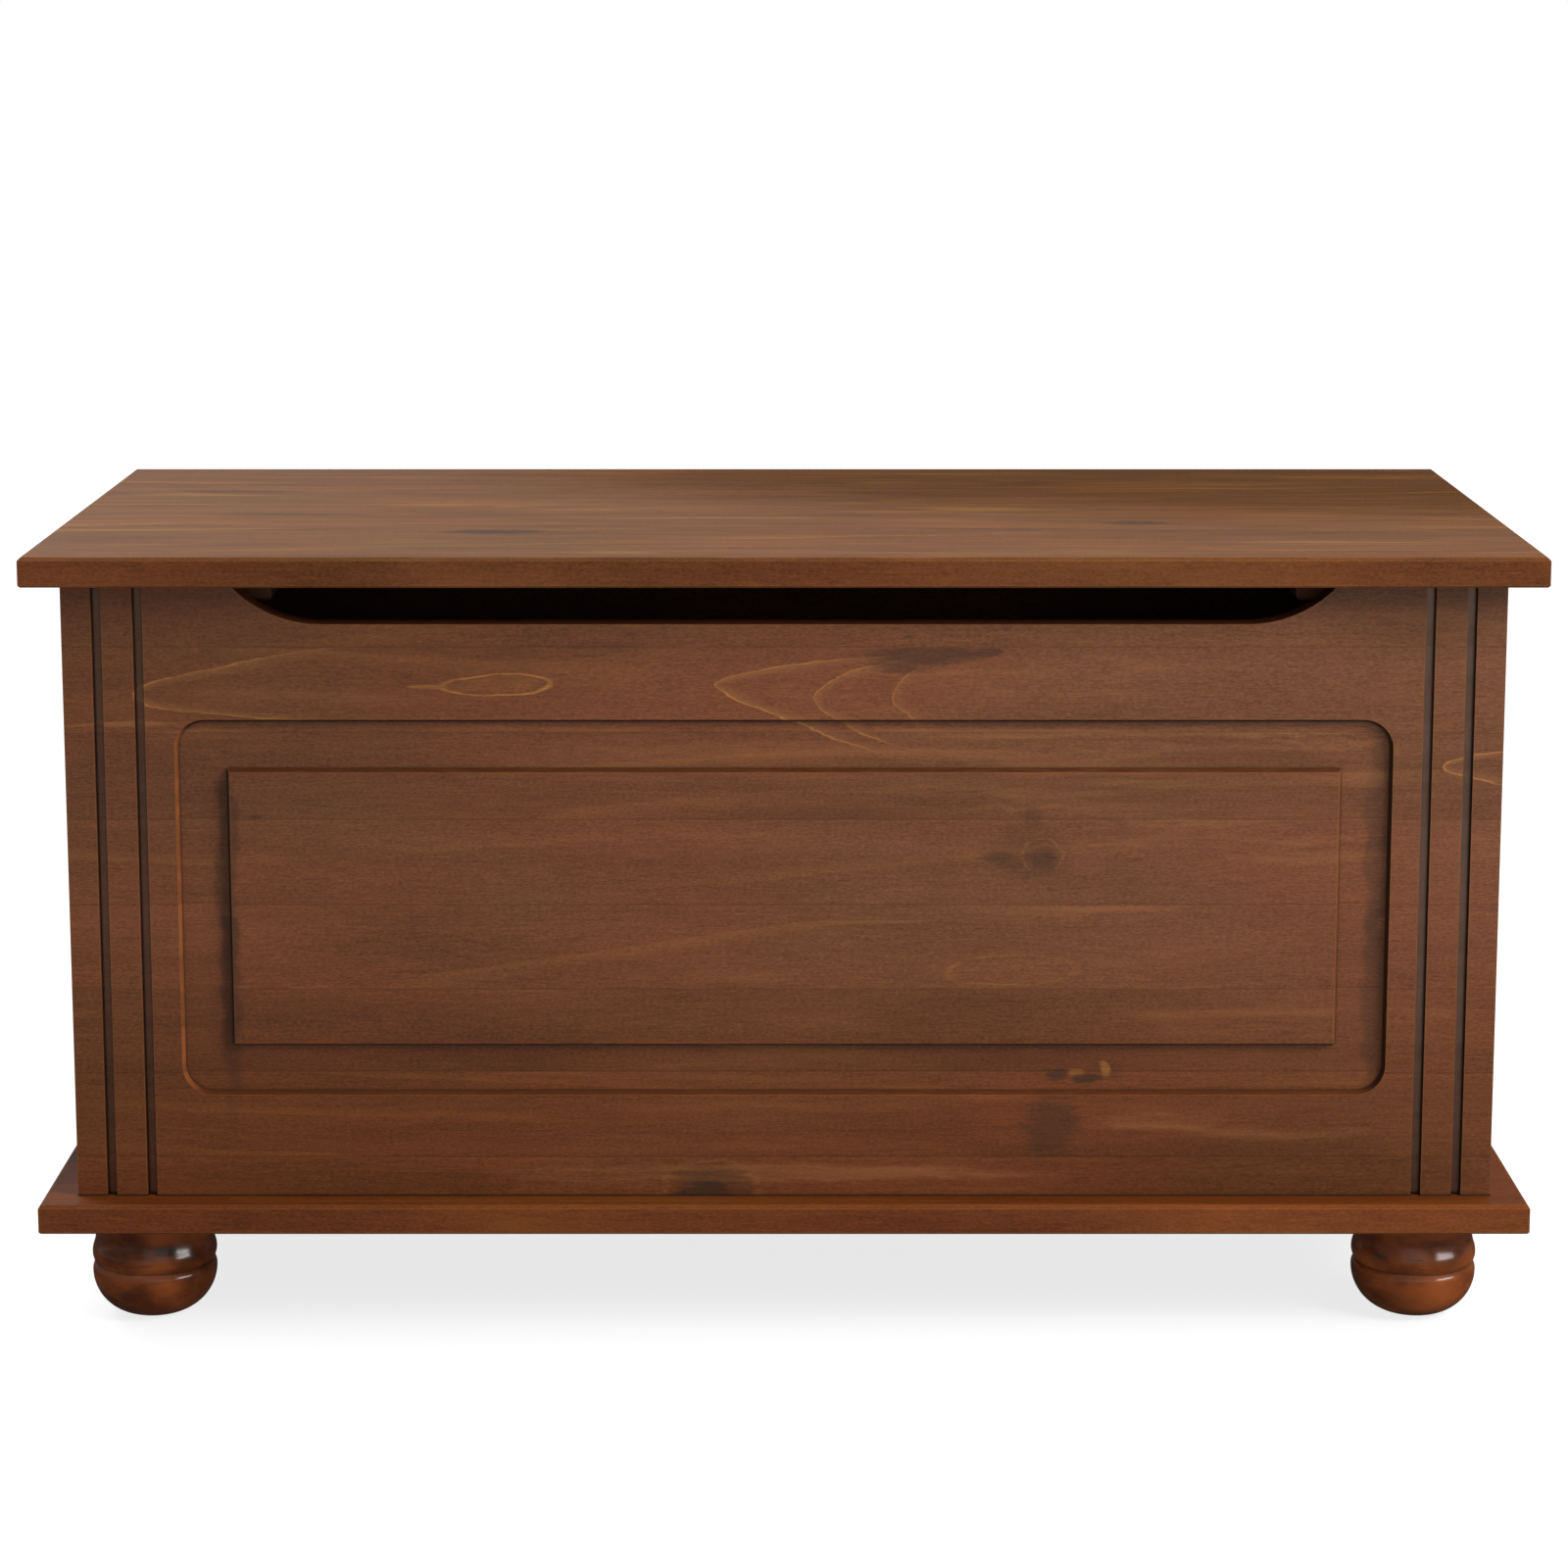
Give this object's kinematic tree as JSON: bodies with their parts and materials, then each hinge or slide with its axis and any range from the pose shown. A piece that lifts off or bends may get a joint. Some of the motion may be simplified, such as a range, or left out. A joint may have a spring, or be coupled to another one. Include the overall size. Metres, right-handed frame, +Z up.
{
  "type": "storage chest",
  "caption": "Low wide wooden storage chest with a hinged overhanging lid on slotted stays, a routed front with a hand slot, a plinth board and turned bun feet.",
  "frame": {"origin": "on the floor, under the middle of the whole chest's box", "axes": "+X to the right seen from the front, -Y out of the routed front, +Z up"},
  "size_m": [0.9, 0.4262, 0.48],
  "materials": {
    "stained_pine": "walnut stain under satin lacquer",
    "stained_turning": "walnut stain under glossy lacquer",
    "plain_beech": "bare wood",
    "hinge_brass": "aged brass",
    "zinc_steel": "zinc plated",
    "soft_dot": "soft clear-brown polymer"
  },
  "bodies": {
    "carcass": {"base_board": "stained_pine", "front_panel": "stained_pine", "back_panel": "stained_pine", "side_panel_left": "stained_pine", "side_panel_right": "stained_pine", "foot_front_left": "stained_turning", "foot_front_right": "stained_turning", "foot_rear_left": "stained_turning", "foot_rear_right": "stained_turning", "foot_bolts": "zinc_steel", "foot_inserts": "hinge_brass", "cam_bolts": "zinc_steel", "cam_nuts": "zinc_steel", "corner_dowels": "plain_beech", "base_screws": "zinc_steel", "lid_dots": "soft_dot", "hinge_left_body_leaf": "hinge_brass", "hinge_right_body_leaf": "hinge_brass", "body_leaf_screws": "hinge_brass", "stay_pin_left": "zinc_steel", "stay_pin_right": "zinc_steel"},
    "lid": {"lid_panel": "stained_pine", "lid_batten_left": "stained_pine", "lid_batten_right": "stained_pine", "batten_screws": "zinc_steel", "hinge_left_lid_leaf": "hinge_brass", "hinge_left_pin": "hinge_brass", "hinge_right_lid_leaf": "hinge_brass", "hinge_right_pin": "hinge_brass", "lid_leaf_screws": "hinge_brass", "stay_bracket_left": "zinc_steel", "stay_bracket_right": "zinc_steel", "bracket_screws": "zinc_steel", "stay_rivet_left": "zinc_steel", "stay_rivet_right": "zinc_steel"},
    "stay_left": {"stay_arm_left": "zinc_steel"},
    "stay_right": {"stay_arm_right": "zinc_steel"}
  },
  "joints": [
    {"name": "lid_hinge", "type": "hinge", "parent": "carcass", "child": "lid", "pos_m": [0, 0.21015, 0.4615], "axis": [-1, 0, 0], "range_deg": [0, 95]},
    {"name": "stay_left_pivot", "type": "hinge", "parent": "lid", "child": "stay_left", "pos_m": [-0.4085, 0.02071, 0.447], "axis": [-1, 0, 0], "range_deg": [-47.5, 0]},
    {"name": "stay_right_pivot", "type": "hinge", "parent": "lid", "child": "stay_right", "pos_m": [0.4085, 0.02071, 0.447], "axis": [-1, 0, 0], "range_deg": [-47.5, 0]}
  ],
  "couplings": [
    {"joint": "stay_left_pivot", "follows": "lid_hinge", "ratio": -0.5},
    {"joint": "stay_right_pivot", "follows": "lid_hinge", "ratio": -0.5}
  ]
}
